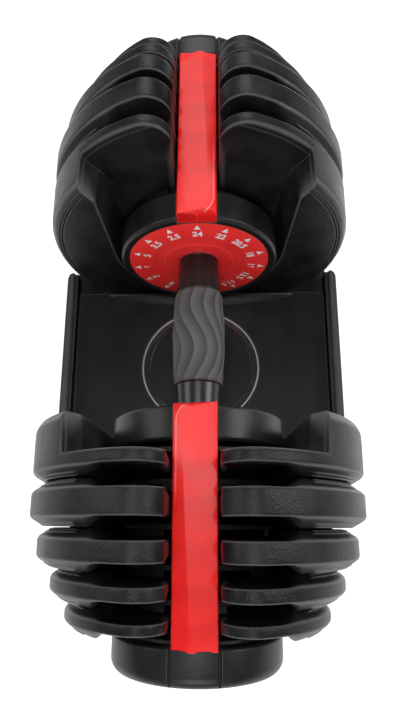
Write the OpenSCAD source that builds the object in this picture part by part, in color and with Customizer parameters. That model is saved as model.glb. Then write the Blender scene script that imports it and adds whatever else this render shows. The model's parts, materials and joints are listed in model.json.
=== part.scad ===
// Adjustable dumbbell resting in its tray. The handle's axis runs along Y, +Z is up,
// and the origin is on the surface that the tray stands on, under the middle of the grip.

/* [Stance] */
// Height of plate 1's lowest point above the surface that the feet stand on
plate_stand = 18; // [14:0.5:40]
// Clear length for the hand, between the two number discs
hand_gap = 114; // [104:1:140]

/* [Grip] */
// Outside diameter of the steel handle tube
tube_d = 25; // [22:0.5:27]
// Diameter of the rubber grip at its two ends
grip_end_d = 32; // [30:0.5:36]
// Diameter of the rubber grip at its middle
grip_mid_d = 35.5; // [32:0.5:42]
// Length of the rubber grip
grip_length = 64; // [50:1:84]
// Wall thickness of a collar where it meets the rubber grip
collar_grip_wall = 2.5; // [1.5:0.1:3]
// Wall thickness of a collar where it meets the number disc
collar_disc_wall = 1; // [0.8:0.1:2]

/* [Shaft] */
// Diameter of the steel rod that runs through both ends
rod_d = 14; // [10:0.5:15]
// Outside diameter of the sleeve that turns the selector discs
sleeve_d = 20; // [18:0.5:21]
// Radial running clearance of every turning fit
fit = 0.08; // [0.02:0.01:0.1]
// Radial clearance of every fixed seat
seat = 0.05; // [0.02:0.01:0.1]

/* [Dial] */
// Outside diameter of the fixed dial housing
housing_d = 107.4; // [106:0.2:110]
// Length of the dial housing along the handle
housing_length = 19.6; // [19:0.2:20.4]
// Diameter of the number disc
number_disc_d = 96.4; // [92:0.2:97]
// Thickness of the number disc
number_disc_t = 2.8; // [2:0.1:3]
// Number of weight settings around the dial
settings = 15; // [15:1:15]
// Number of lock notches around the dial; each setting falls on one of them
notches = 60; // [60:60:60]
// Travel of the lock pin when the tray lets it go
pin_travel = 3; // [2:0.1:3.2]

/* [Selector discs] */
// Thickness of a selector disc's web
disc_web = 3; // [2:0.1:3.2]
// Length of the lifting flange on a selector disc
flange_length = 4; // [3:0.1:4.2]
// Radial thickness of the lifting flange
flange_t = 2.5; // [2:0.1:3]
// Clearance between a lifting flange and the plate behind it
flange_gap = 0.5; // [0.4:0.1:0.8]
// Width of the lifting tab on each plate
tab_w = 10; // [8:0.5:12]

/* [Plates] */
// Diameter of plate 1, the one nearest the hand
plate1_d = 200; // [196:1:204]
// Diameter of plate 2
plate2_d = 200; // [180:1:204]
// Diameter of plate 3
plate3_d = 190; // [160:1:200]
// Diameter of plate 4
plate4_d = 173; // [145:1:190]
// Diameter of plate 5, the one nearest the knob
plate5_d = 155; // [135:1:170]
// Rim width of plate 1, without its horns
plate1_rim = 7; // [6:0.1:9]
// Rim width of plate 2
plate2_rim = 13.5; // [7:0.1:16]
// Rim width of plate 3
plate3_rim = 10.5; // [6:0.1:14]
// Rim width of plate 4
plate4_rim = 7; // [6:0.1:12]
// Rim width of plate 5
plate5_rim = 5.5; // [5.5:0.1:9]
// Length of plate 1's horns, towards the hand
horn_length = 22; // [21.6:0.1:24]
// Distance from the number disc's face to the horns
horn_setback = 7.5; // [7.2:0.1:9]
// Length along the axis of each sloped shoulder beside a rim
shoulder = 5; // [5:0.1:7]
// Height of each sloped shoulder
shoulder_drop = 8; // [5:0.5:10]
// Gap between one plate and the next
plate_gap = 0.8; // [0.4:0.1:1.5]
// Gap between the bridge cover and each side of a plate's upright slot
slot_gap = 1.2; // [0.9:0.1:3]
// How much wider than the number disc, on each side, the channels for the selector discs are
channel_gap = 1.8; // [0.8:0.1:4]
// How much wider than the dial housing, on each side, the recess between the horns is
recess_gap = 6.3; // [3:0.1:10]
// Thickness of the moulded skin around a steel core
skin = 3.5; // [2:0.1:4]

/* [Bridge] */
// Width of the red bridge cover
bridge_w = 24; // [22:0.1:24.2]
// Height of the bridge cover's inner end above the handle's axis
bridge_high = 60; // [58:0.5:66]
// Height of the bridge cover's outer end above the handle's axis
bridge_low = 49.8; // [48:0.2:52]
// Wall thickness of the bridge cover
bridge_wall = 2.2; // [1.5:0.1:3]
// Thickness of a frame hanger
hanger_t = 4; // [3:0.1:4.5]

/* [Knob] */
// Diameter of the end knob's drum
knob_d = 100; // [90:0.5:104]
// Length of the end knob's drum
knob_length = 14.3; // [13:0.1:20]
// Diameter of the end knob's neck
neck_d = 76; // [60:0.5:80]
// Length of the end knob's neck
neck_length = 6; // [5.8:0.1:8]
// Diameter of the cap over the rod's nut
cap_d = 41; // [38:0.5:50]

/* [Tray] */
// How far the tray reaches beyond plate 1 on each side
tray_side = 6; // [3:0.5:15]
// How far the tray reaches beyond plate 5 at each end
tray_end = 8.8; // [2:0.1:16]
// Radius of the tray's corners, seen from above
tray_corner = 75; // [40:1:90]
// Wall thickness of the tray
tray_wall = 3; // [2.5:0.1:4]
// Gap between the dial housing and the deck below it
deck_gap = 6.3; // [5:0.1:10]
// Depth of the cradles' shoulders below the deck
cradle_step = 2; // [0.5:0.5:8]
// Height of the side lips above the deck
lip_height = 9; // [5:0.5:12]
// Width of the side lips
lip_w = 6.5; // [4:0.5:8]
// Clearance between a plate and its cradle
cradle_gap = 1.5; // [0.8:0.1:2]
// Diameter of the ring groove on the deck
ring_d = 93; // [60:1:100]
// Width of the ring groove on the deck
ring_w = 4.5; // [2:0.1:6]
// Diameter of a rubber foot
foot_d = 18; // [12:0.5:22]
// How far the rubber feet hold the tray off the surface
foot_stand = 2; // [1:0.1:3]

/* [Hidden] */
plates = [1, 2, 3, 4, 5];
ends = ["far", "near"];
$fn = 96;
// a cut runs this far past the face it opens
over = 1;
// small step that keeps two faces of one piece from lying in one plane
nudge = 0.01;

// places along the handle, measured outwards from its middle
face_y = hand_gap / 2;
disc_back_y = face_y + 0.2 + number_disc_t;
housing_back_y = face_y + housing_length;
plates_y = face_y + horn_setback;
plate_r = [plate1_d, plate2_d, plate3_d, plate4_d, plate5_d] / 2;
axis_height = max(plate_r) + plate_stand;
rim_w = [plate1_rim, plate2_rim, plate3_rim, plate4_rim, plate5_rim];
function lead(k) = k == 1 ? horn_length : shoulder;
function plate_t(k) = lead(k) + rim_w[k - 1] + shoulder;
function plate_in(k) = k == 1 ? plates_y : plate_in(k - 1) + plate_t(k - 1) + plate_gap;
function rim_in(k) = plate_in(k) + lead(k);
function rim_out(k) = rim_in(k) + rim_w[k - 1];
function plate_out(k) = rim_out(k) + shoulder;
knob_y = plate_out(5) + 0.8;
drum_y = knob_y + neck_length;
end_y = drum_y + knob_length;

// the sleeve, its hubs and the hangers between them
shaft_gap = 0.3;
slot_w = bridge_w + 2 * slot_gap;
hub_r = slot_w / 2 - 0.8;
sleeve_in = disc_back_y + 0.2;
sleeve_out = drum_y + 0.4;
function hanger_y(k) = (rim_in(k) + rim_out(k) - hanger_t) / 2;
function disc_in(k) = rim_in(k) - flange_gap - flange_length - disc_web;
function hub_in(k) = k == 1 ? housing_back_y + 0.6 : hanger_y(k - 1) + hanger_t + shaft_gap;
function hub_out(k) = hanger_y(k) - shaft_gap;

// the bridge: its underside falls from the dial housing to the knob
under_high = number_disc_d / 2 + 0.7;
under_low = neck_d / 2 + 4.2;
bridge_in = face_y + 0.2;
bridge_seat = housing_back_y + 1.4;
bridge_out = drum_y - 0.9;
function under(y) = under_high + (under_low - under_high) * (y - bridge_seat) / (bridge_out - bridge_seat);
function crown(y) = bridge_high + (bridge_low - bridge_high) * (y - bridge_in) / (bridge_out - bridge_in);
// a selector disc's radius clears the bridge's underside
function disc_r(k) = under(rim_in(k)) - 1.2;
// the lifting flange stands a little inside the disc's edge, and the tab hangs inside the flange
function flange_r(k) = disc_r(k) - 0.4;
function tab_r(k) = flange_r(k) - flange_t - 0.8;
pin_places = [hanger_y(1) + hanger_t / 2, hanger_y(3) + hanger_t / 2, hanger_y(5) + hanger_t / 2];

// which plates each setting lifts, from the heaviest setting clockwise to the lightest
picks = [
    [1, 1, 1, 1, 1, 1, 1, 0, 0, 0, 0, 0, 0, 0, 0],
    [1, 1, 1, 1, 0, 0, 0, 1, 1, 0, 0, 0, 0, 0, 0],
    [1, 1, 0, 0, 1, 0, 0, 0, 0, 1, 1, 0, 0, 0, 0],
    [1, 1, 1, 0, 1, 1, 0, 0, 0, 1, 1, 1, 1, 0, 0],
    [1, 0, 0, 0, 0, 0, 0, 1, 0, 1, 0, 1, 0, 1, 0]];
step = 360 / settings;
// number of settings in a row, from setting i on, that lift plate k
function run(k, i) = i < settings && picks[k - 1][i] == 1 ? 1 + run(k, i + 1) : 0;

// the lock: a wheel of inner notches and a pin that drops into one of them
housing_r = housing_d / 2;
number_disc_r = number_disc_d / 2;
channel_r = number_disc_r + channel_gap;
recess_r = housing_r + recess_gap;
pin_y = disc_back_y + 2.8;
pin_t = 1.6;
pin_w = 5;
lug_w = 1.8;
lug_h = 3;
notch_depth = 4;
wheel_r = number_disc_r - 4.2;
wheel_in = pin_y + pin_t / 2 + 0.4;
ring_t = 2;
ring_in_r = wheel_r - 6.5;
// at rest the lug stands half its travel clear of the ring, and dropped it reaches half its travel into it
lug_low = ring_in_r - pin_travel / 2;
button_r = 3.8;
button_t = 1.6;
button_top = housing_r + 0.7;
spring_r = 3.3;
spring_wire = 0.8;
spring_turns = 3.5;
spring_pocket_r = 4.2;
spring_top = housing_r - 3.5;
journal_r = 14;
wheel_hub_r = 18;
cavity_r = number_disc_r - 1.7;
cavity_back = housing_back_y - 2.4;

// the nut that holds each end together
washer_in = sleeve_out + 0.3;
washer_t = 1.5;
nut_in = washer_in + washer_t;
nut_t = 6;
nut_flats = 19;
rod_end = nut_in + nut_t + 1;
cap_in = rod_end + 0.5;

tray_w = 2 * (max(plate_r) + tray_side);
tray_length = 2 * (plate_out(5) + tray_end);
deck_z = axis_height - housing_r - deck_gap;
cradle_z = deck_z - cradle_step;
deck_end = plates_y - 1;
lip_end = plates_y + 12;
barrel_r = 870;
foot_x = tray_w / 2 - 46;
foot_y = tray_length / 2 - 41;
foot_depth = 3.5;
boss_r = foot_d / 2 + 4;

// puts children that are drawn along +Z onto the handle's axis, pointing to the far end
module on_axis() {
    translate([0, 0, axis_height])
        rotate([-90, 0, 0])
            children();
}

// the near end is the far end turned half way round
module at_end(which) {
    rotate([0, 0, which == "near" ? 180 : 0])
        children();
}

// a turned solid from points of [radius, distance along the handle]
module turned(points) {
    on_axis()
        rotate_extrude()
            polygon(points);
}

module tube(outer_r, inner_r, from_y, to_y) {
    turned([[inner_r, from_y], [outer_r, from_y], [outer_r, to_y], [inner_r, to_y]]);
}

// a flat shape seen along the handle, with its own y pointing down
module slab(from_y, to_y) {
    on_axis()
        translate([0, 0, from_y])
            linear_extrude(height = to_y - from_y)
                children();
}

// a round hole of radius r, open upwards
module upright_slot(r) {
    circle(r = r);
    translate([-r, -150])
        square([2 * r, 150]);
}

// outline of the wide recess between plate 1's horns
module horn_recess(grow) {
    r = recess_r + grow;
    circle(r = r);
    polygon([
        [-r + 1, 0], [-r - 1, -60], [-r - 8, -72], [-r - 22, -110],
        [r + 22, -110], [r + 8, -72], [r + 1, -60], [r - 1, 0]]);
}

// ---- tray ----

module tray_outline(inset) {
    w = tray_w / 2 - inset;
    l = tray_length / 2 - inset;
    c = tray_corner - inset;
    intersection() {
        union() {
            square([2 * w, 2 * (l - c)], center = true);
            square([2 * (w - c), 2 * l], center = true);
            for (sx = [-1, 1], sy = [-1, 1])
                translate([sx * (w - c), sy * (l - c)])
                    circle(r = c);
        }
        translate([w - barrel_r, 0])
            circle(r = barrel_r, $fn = 360);
        translate([barrel_r - w, 0])
            circle(r = barrel_r, $fn = 360);
    }
}

// the space that the plates of one end fill, grown by a clearance
module cradle_space(gap) {
    for (k = plates)
        turned([
            [0, plate_in(k) - nudge - plate_gap / 2],
            [plate_r[k - 1] - shoulder_drop + gap, plate_in(k) - plate_gap / 2 - nudge],
            [plate_r[k - 1] + gap, k == 1 ? plates_y + shoulder_drop - gap : rim_in(k) - gap],
            [plate_r[k - 1] + gap, rim_out(k) + gap],
            [plate_r[k - 1] - shoulder_drop + gap, plate_out(k) + plate_gap / 2 + nudge],
            [0, plate_out(k) + plate_gap / 2 + nudge]]);
}

module foot_places() {
    for (sx = [-1, 1], sy = [-1, 1])
        translate([sx * foot_x, sy * foot_y, 0])
            children();
}

module base_tray() {
    color("#1b1b1d")
    difference() {
        union() {
            translate([0, 0, foot_stand])
                linear_extrude(height = cradle_z - foot_stand)
                    tray_outline(0);
            intersection() {
                linear_extrude(height = deck_z)
                    tray_outline(0);
                translate([-tray_w, -deck_end, foot_stand])
                    cube([2 * tray_w, 2 * deck_end, axis_height]);
            }
            side_lips();
            for (which = ends)
                at_end(which)
                    release_post();
        }
        for (which = ends)
            at_end(which)
                cradle_space(cradle_gap);
        tray_hollow();
        deck_ring();
        foot_places()
            translate([0, 0, -over])
                cylinder(h = foot_stand + foot_depth + over, d = foot_d + 2 * seat);
    }
}

module side_lips() {
    intersection() {
        linear_extrude(height = deck_z + lip_height)
            tray_outline(0);
        for (sx = [-1, 1])
            translate([sx * (tray_w / 2 - lip_w / 2), 0, cradle_z])
                cube([lip_w, 2 * lip_end, 4 * lip_height], center = true);
    }
}

// the post that holds a lock pin up while the dumbbell is in the tray
module release_post() {
    top = axis_height - button_top - button_t - 0.2;
    translate([-3, pin_y - 2.6, deck_z - tray_wall])
        cube([6, 3.4, top - deck_z + tray_wall]);
}

// the tray is a shell, open underneath, with a boss over each foot
module tray_hollow() {
    difference() {
        union() {
            translate([0, 0, -over])
                linear_extrude(height = cradle_z - tray_wall + over)
                    tray_outline(tray_wall);
            translate([-tray_w / 2 + lip_w + tray_wall, -deck_end + tray_wall, 0])
                cube([tray_w - 2 * (lip_w + tray_wall), 2 * (deck_end - tray_wall), deck_z - tray_wall]);
        }
        for (which = ends)
            at_end(which)
                cradle_space(cradle_gap + tray_wall);
        for (which = ends)
            at_end(which)
                tube(plate_r[0] + cradle_gap + tray_wall, 1, plates_y - tray_wall, plate_in(3));
        foot_places()
            cylinder(h = axis_height, r = boss_r);
    }
}

module deck_ring() {
    translate([0, 0, deck_z - 1.2])
        difference() {
            cylinder(h = 2 + over, d = ring_d);
            translate([0, 0, -over])
                cylinder(h = 4 + 2 * over, d = ring_d - 2 * ring_w);
        }
}

module rubber_feet() {
    color("#2a2a2c")
    foot_places()
        cylinder(h = foot_stand + foot_depth - seat, d = foot_d);
}

// ---- handle ----

module handle_tube() {
    color("#b9bcc0")
    tube(tube_d / 2, rod_d / 2 + seat, -disc_back_y + 0.2, disc_back_y - 0.2);
}

module grip_sleeve() {
    half = grip_length / 2;
    belly_r = (grip_mid_d - grip_end_d) / 4 + half * half / (grip_mid_d - grip_end_d);
    color("#3a3a3c")
    on_axis()
        difference() {
            rotate_extrude()
                intersection() {
                    translate([0, -half])
                        square([grip_mid_d, 2 * half]);
                    translate([grip_mid_d / 2 - belly_r, 0])
                        circle(r = belly_r, $fn = 360);
                }
            translate([0, 0, -half - over])
                cylinder(h = grip_length + 2 * over, r = tube_d / 2 + seat);
        }
}

module grip_collar(which) {
    inner_y = grip_length / 2 + 0.2;
    outer_y = face_y - 0.1;
    bore = tube_d / 2 + seat;
    grip_r = tube_d / 2 + collar_grip_wall;
    disc_side_r = tube_d / 2 + collar_disc_wall;
    color("#161617")
    at_end(which)
        turned([
            [bore, inner_y], [grip_r - 0.6, inner_y], [grip_r, inner_y + 0.6],
            [disc_side_r, outer_y - 3], [disc_side_r, outer_y], [bore, outer_y]]);
}

module center_rod() {
    color("#a8abb0")
    on_axis()
        cylinder(h = 2 * rod_end, d = rod_d, center = true);
}

module rod_washers() {
    color("#c3c6ca")
    for (which = ends)
        at_end(which)
            tube(11, rod_d / 2 + seat, washer_in, washer_in + washer_t - 0.02);
}

module rod_nuts() {
    color("#c3c6ca")
    for (which = ends)
        at_end(which)
            on_axis()
                translate([0, 0, nut_in])
                    difference() {
                        cylinder(h = nut_t, d = nut_flats / cos(30), $fn = 6);
                        translate([0, 0, -over])
                            cylinder(h = nut_t + 2 * over, r = rod_d / 2 + seat);
                    }
}

// ---- bridge ----

// a block seen from the side, centred on the handle; its points are [along, above the axis]
module side_block(w, points) {
    translate([-w / 2, 0, axis_height])
        rotate([90, 0, 90])
            linear_extrude(height = w)
                polygon(points);
}

module bridge_cover(which) {
    in_y = bridge_seat + 1.4;
    out_y = bridge_out - bridge_wall;
    color("#d8232a")
    at_end(which)
        difference() {
            side_block(bridge_w, [
                [bridge_in, under_high], [bridge_seat, under_high], [bridge_out, under_low],
                [bridge_out, bridge_low], [bridge_in, bridge_high]]);
            side_block(bridge_w - 2 * bridge_wall, [
                [in_y, under(in_y) - 2], [out_y, under(out_y) - 2],
                [out_y, crown(out_y) - bridge_wall], [in_y, crown(in_y) - bridge_wall]]);
            pin_holes(1.5 + seat);
        }
}

module bridge_frame(which) {
    in_y = bridge_seat + 1.6;
    out_y = bridge_out - bridge_wall - 0.2;
    w = bridge_w - 2 * bridge_wall - 0.4;
    color("#5c5f64")
    at_end(which)
        difference() {
            union() {
                side_block(w, [
                    [in_y, under(in_y)], [out_y, under(out_y)],
                    [out_y, under(out_y) + 4.5], [in_y, under(in_y) + 4.5]]);
                for (k = plates)
                    hanger(k, w);
            }
            pin_holes(1.5 + seat);
            on_axis()
                cylinder(h = end_y, r = sleeve_d / 2 + fit);
        }
}

// a flat arm that hangs from the rail and carries the sleeve
module hanger(k, w) {
    slab(hanger_y(k), hanger_y(k) + hanger_t) {
        circle(r = hub_r);
        translate([-w / 2, -under(hanger_y(k)) - 1])
            square([w, under(hanger_y(k)) + 1]);
    }
}

module pin_holes(r) {
    for (y = pin_places)
        translate([0, y, axis_height + under(y) + 2.2])
            rotate([0, 90, 0])
                cylinder(h = bridge_w + 2 * over, r = r, center = true);
}

module bridge_pins() {
    color("#8d9095")
    for (which = ends, y = pin_places)
        at_end(which)
            translate([0, y, axis_height + under(y) + 2.2])
                rotate([0, 90, 0])
                    cylinder(h = bridge_w - 0.6, r = 1.5, center = true);
}

// ---- dial and lock ----

module dial_housing(which) {
    notch_w = bridge_w + 0.6;
    color("#141415")
    at_end(which)
        difference() {
            turned([
                [number_disc_r + 0.5, face_y], [housing_r - 1.5, face_y], [housing_r, face_y + 1.5],
                [housing_r, housing_back_y - 1.5], [housing_r - 1.5, housing_back_y],
                [journal_r + fit, housing_back_y], [journal_r + fit, cavity_back],
                [cavity_r, cavity_back], [cavity_r, disc_back_y + 0.3],
                [number_disc_r + 0.5, disc_back_y + 0.3]]);
            translate([-notch_w / 2, face_y - over, axis_height + under_high - 0.2])
                cube([notch_w, housing_length + 2 * over, 30]);
            translate([-pin_w / 2 - 0.2, pin_y - pin_t / 2 - 0.2, axis_height - housing_r - over])
                cube([pin_w + 0.4, pin_t + 0.4, housing_r - cavity_r + 3 + over]);
            translate([0, pin_y, axis_height - housing_r - over])
                cylinder(h = housing_r - spring_top + over, r = spring_pocket_r);
        }
}

module lock_pin(which) {
    color("#9a9da2")
    at_end(which)
        translate([0, pin_y, axis_height]) {
            translate([-pin_w / 2, -pin_t / 2, -button_top - 0.5])
                cube([pin_w, pin_t, button_top + 0.5 - lug_low + lug_h]);
            translate([-lug_w / 2, pin_t / 2 - nudge, -lug_low])
                cube([lug_w, 0.4 + ring_t - 0.3, lug_h]);
            translate([0, 0, -button_top - button_t])
                cylinder(h = button_t, r = button_r);
        }
}

// a point on the spring's wire: t is the turn and a is the angle around the wire
function spring_point(t, a, low, rise) =
    let (reach = spring_r + spring_wire / 2 * cos(a))
    [reach * cos(360 * t), reach * sin(360 * t), low + rise * t + spring_wire / 2 * sin(a)];

module lock_spring(which) {
    sides = 8;
    rings = 56;
    low = -button_top + spring_wire / 2 + 0.1;
    high = -spring_top - spring_wire / 2 - 0.1;
    rise = (high - low) / spring_turns;
    points = [for (i = [0:rings], j = [0:sides - 1])
        spring_point(spring_turns * i / rings, 360 * j / sides, low, rise)];
    walls = [for (i = [0:rings - 1], j = [0:sides - 1])
        [i * sides + j, (i + 1) * sides + j, (i + 1) * sides + (j + 1) % sides, i * sides + (j + 1) % sides]];
    caps = [
        [for (j = [0:sides - 1]) j],
        [for (j = [sides - 1:-1:0]) rings * sides + j]];
    color("#c3c6ca")
    at_end(which)
        translate([0, pin_y, axis_height])
            polyhedron(points, concat(walls, caps));
}

module number_disc(which) {
    color("#e0262c")
    at_end(which)
        tube(number_disc_r, tube_d / 2 + 0.5, face_y + 0.2, disc_back_y);
}

module lock_wheel(which) {
    color("#202022")
    at_end(which)
        difference() {
            turned([
                [sleeve_d / 2 + seat, disc_back_y], [wheel_hub_r, disc_back_y],
                [wheel_hub_r, wheel_in + ring_t], [ring_in_r, wheel_in + ring_t],
                [ring_in_r, wheel_in], [wheel_r, wheel_in],
                [wheel_r, wheel_in + 2 * ring_t], [wheel_hub_r, wheel_in + 2 * ring_t],
                [wheel_hub_r, cavity_back - 0.4], [journal_r, cavity_back - 0.4],
                [journal_r, housing_back_y + 0.3], [sleeve_d / 2 + seat, housing_back_y + 0.3]]);
            for (i = [0:notches - 1])
                slab(wheel_in - over, wheel_in + ring_t)
                    rotate(90 + i * 360 / notches)
                        translate([ring_in_r - over, -lug_w / 2 - 0.3])
                            square([notch_depth + over, lug_w + 0.6]);
        }
}

module disc_sleeve(which) {
    color("#7d8086")
    at_end(which)
        tube(sleeve_d / 2, rod_d / 2 + fit, sleeve_in, sleeve_out);
}

module selector_disc(k, which) {
    r = disc_r(k);
    y = disc_in(k);
    bore = sleeve_d / 2 + seat;
    color("#2b2b2e")
    at_end(which) {
        turned([
            [bore, hub_in(k)], [hub_r, hub_in(k)], [hub_r, y], [r, y],
            [r, y + disc_web], [hub_r, y + disc_web], [hub_r, hub_out(k)], [bore, hub_out(k)]]);
        for (i = [0:settings - 1])
            if (picks[k - 1][i] == 1 && (i == 0 || picks[k - 1][i - 1] == 0))
                on_axis()
                    rotate(90 + (i - 0.5) * step)
                        rotate_extrude(angle = run(k, i) * step)
                            translate([flange_r(k) - flange_t, y + disc_web - nudge])
                                square([flange_t, flange_length + nudge]);
    }
}

module end_knob(which) {
    groove_x = bridge_w / 2 - 0.4;
    color("#141415")
    at_end(which)
        difference() {
            turned([
                [sleeve_d / 2 + seat, hanger_y(5) + hanger_t + shaft_gap],
                [hub_r, hanger_y(5) + hanger_t + shaft_gap], [hub_r, knob_y], [neck_d / 2 - 2, knob_y],
                [neck_d / 2, drum_y], [knob_d / 2 - 1.5, drum_y], [knob_d / 2, drum_y + 1.5],
                [knob_d / 2, end_y - 2], [knob_d / 2 - 2, end_y], [cap_d / 2, end_y],
                [cap_d / 2, cap_in], [14, cap_in], [14, sleeve_out], [sleeve_d / 2 + seat, sleeve_out]]);
            for (sx = [-1, 1], sz = [-1, 1])
                translate([sx * groove_x - 0.6, drum_y + 1.5, axis_height + sz * (knob_d / 2 + 3) - 5])
                    cube([1.2, knob_length + over, 10]);
        }
}

module knob_cap(which) {
    color("#1d1d1f")
    at_end(which)
        turned([
            [0, cap_in + seat], [cap_d / 2 - 0.15, cap_in + seat], [cap_d / 2 - 0.15, end_y - 1.4],
            [cap_d / 2 - 1.15, end_y - 0.4], [0, end_y - 0.4]]);
}

// ---- plates ----

// the steel core's own shape; grow gives the pocket that it sits in
module core_shape(k, grow) {
    r = plate_r[k - 1] - shoulder_drop - skin / 2;
    web_from = rim_in(k) + skin / 2;
    difference() {
        on_axis()
            translate([0, 0, web_from - grow])
                cylinder(h = plate_out(k) - 0.6 - web_from + grow + (grow > 0 ? over : 0), r = r + grow);
        slab(web_from - over, plate_out(k) + 2 * over)
            upright_slot(slot_w / 2 + skin + 1.5 - grow);
        slab(rim_out(k), plate_out(k) + 2 * over)
            upright_slot(channel_r + skin - grow);
    }
    if (k == 1)
        difference() {
            on_axis()
                translate([0, 0, plates_y + skin - grow])
                    cylinder(h = horn_length, r = r + grow);
            slab(plates_y - over, rim_out(1))
                horn_recess(skin + 1.5 - grow);
        }
}

module plate_cover(k, which) {
    r = plate_r[k - 1];
    face_r = r - shoulder_drop;
    color("#19191b")
    at_end(which)
        difference() {
            union() {
                difference() {
                    turned([
                        [0, plate_in(k)], [face_r, plate_in(k)],
                        [r, k == 1 ? plates_y + shoulder_drop : rim_in(k)], [r, rim_out(k)],
                        [face_r, plate_out(k)], [0, plate_out(k)]]);
                    slab(plate_in(k) - over, rim_in(k))
                        if (k == 1) horn_recess(0);
                        else upright_slot(channel_r);
                    slab(rim_out(k), plate_out(k) + over)
                        upright_slot(channel_r);
                }
                slab(rim_in(k) - flange_length + 0.4, rim_in(k) + nudge)
                    translate([-tab_w / 2, tab_r(k) - 5])
                        square([tab_w, 5]);
            }
            slab(plate_in(k) - over, plate_out(k) + over)
                upright_slot(slot_w / 2);
            core_shape(k, seat);
        }
}

module plate_core(k, which) {
    color("#3b3d40")
    at_end(which)
        core_shape(k, 0);
}

base_tray();
rubber_feet();
handle_tube();
grip_sleeve();
grip_collar("far");  // grip_collar_far
grip_collar("near");  // grip_collar_near
center_rod();
rod_nuts();
rod_washers();
dial_housing("far");  // dial_housing_far
dial_housing("near");  // dial_housing_near
bridge_cover("far");  // bridge_cover_far
bridge_cover("near");  // bridge_cover_near
bridge_frame("far");  // bridge_frame_far
bridge_frame("near");  // bridge_frame_near
bridge_pins();
lock_pin("far");  // lock_pin_far
lock_pin("near");  // lock_pin_near
lock_spring("far");  // lock_spring_far
lock_spring("near");  // lock_spring_near
number_disc("far");  // number_disc_far
number_disc("near");  // number_disc_near
lock_wheel("far");  // lock_wheel_far
lock_wheel("near");  // lock_wheel_near
disc_sleeve("far");  // disc_sleeve_far
disc_sleeve("near");  // disc_sleeve_near
for (k = plates, which = ends)
    selector_disc(k, which);
end_knob("far");  // end_knob_far
end_knob("near");  // end_knob_near
knob_cap("far");  // knob_cap_far
knob_cap("near");  // knob_cap_near
for (k = plates, which = ends)
    plate_cover(k, which);
for (k = plates, which = ends)
    plate_core(k, which);
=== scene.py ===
import json
from math import asin, atan2, pi, radians, sqrt
import bmesh
import bpy
import numpy as np
from mathutils import Euler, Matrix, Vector


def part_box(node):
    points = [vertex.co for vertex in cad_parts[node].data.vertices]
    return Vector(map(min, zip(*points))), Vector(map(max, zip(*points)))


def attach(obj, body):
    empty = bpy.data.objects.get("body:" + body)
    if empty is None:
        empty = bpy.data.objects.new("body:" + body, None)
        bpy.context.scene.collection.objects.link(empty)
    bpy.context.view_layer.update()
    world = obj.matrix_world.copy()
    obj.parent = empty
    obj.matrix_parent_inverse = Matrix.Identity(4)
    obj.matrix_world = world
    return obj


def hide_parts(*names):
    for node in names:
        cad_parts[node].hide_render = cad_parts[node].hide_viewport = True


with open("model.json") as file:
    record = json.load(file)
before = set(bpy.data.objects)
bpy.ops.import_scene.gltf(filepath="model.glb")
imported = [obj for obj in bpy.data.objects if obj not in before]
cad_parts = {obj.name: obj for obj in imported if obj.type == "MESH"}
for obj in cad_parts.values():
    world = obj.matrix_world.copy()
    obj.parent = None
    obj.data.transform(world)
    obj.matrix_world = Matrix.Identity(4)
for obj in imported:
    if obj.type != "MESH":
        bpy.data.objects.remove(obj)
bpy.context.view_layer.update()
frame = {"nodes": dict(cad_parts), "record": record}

ends = ("far", "near")
mm = 0.001

# the studio: camera, lights and a pale floor
studio = {
    "cameraPlace": (0.00874, -0.12154, 0.44028),
    "pitch": 13.09, "yaw": 2.03, "roll": -0.09,     # degrees from looking straight down
    "lens": 25.58, "shiftX": 0.0089, "shiftY": 0.0729,
    "floor": 0.93, "floorHalf": 4, "floorRough": 0.8, "glow": 0.25, "sky": 0.2,
    "aimHigh": 0.12,                                # every lamp points at this height over the origin
    # each lamp's name, place, size and power
    "lamps": (("key", (0.0, -0.15, 1.7), 0.5, 9),
              ("left", (-1.0, 0.1, 0.8), 0.5, 3.6),
              ("right", (1.0, 0.1, 0.8), 0.5, 6.5),
              ("back", (0, 1.0, 1.1), 0.7, 8),
              ("front", (0, -1.1, 0.9), 0.6, 7)),
}


def makeCamera():
    camera = bpy.data.cameras.new("camera")
    camera.lens = studio["lens"]
    camera.shift_x = studio["shiftX"]
    camera.shift_y = studio["shiftY"]
    camera.clip_start = 0.01
    holder = bpy.data.objects.new("camera", camera)
    bpy.context.scene.collection.objects.link(holder)
    turn = (Euler((radians(studio["pitch"]), 0, 0)).to_matrix()
            @ Euler((0, radians(studio["yaw"]), 0)).to_matrix()
            @ Euler((0, 0, radians(studio["roll"]))).to_matrix())
    holder.matrix_world = turn.to_4x4()
    holder.location = studio["cameraPlace"]
    bpy.context.scene.camera = holder
    bpy.context.scene.view_settings.view_transform = "Standard"


def makeLamps():
    for name, place, size, power in studio["lamps"]:
        lamp = bpy.data.lights.new(name, "AREA")
        lamp.size = size
        lamp.energy = power
        holder = bpy.data.objects.new(name, lamp)
        bpy.context.scene.collection.objects.link(holder)
        holder.location = place
        aim = Vector((0, 0, studio["aimHigh"])) - Vector(place)
        holder.rotation_euler = aim.to_track_quat("-Z", "Y").to_euler()


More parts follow.
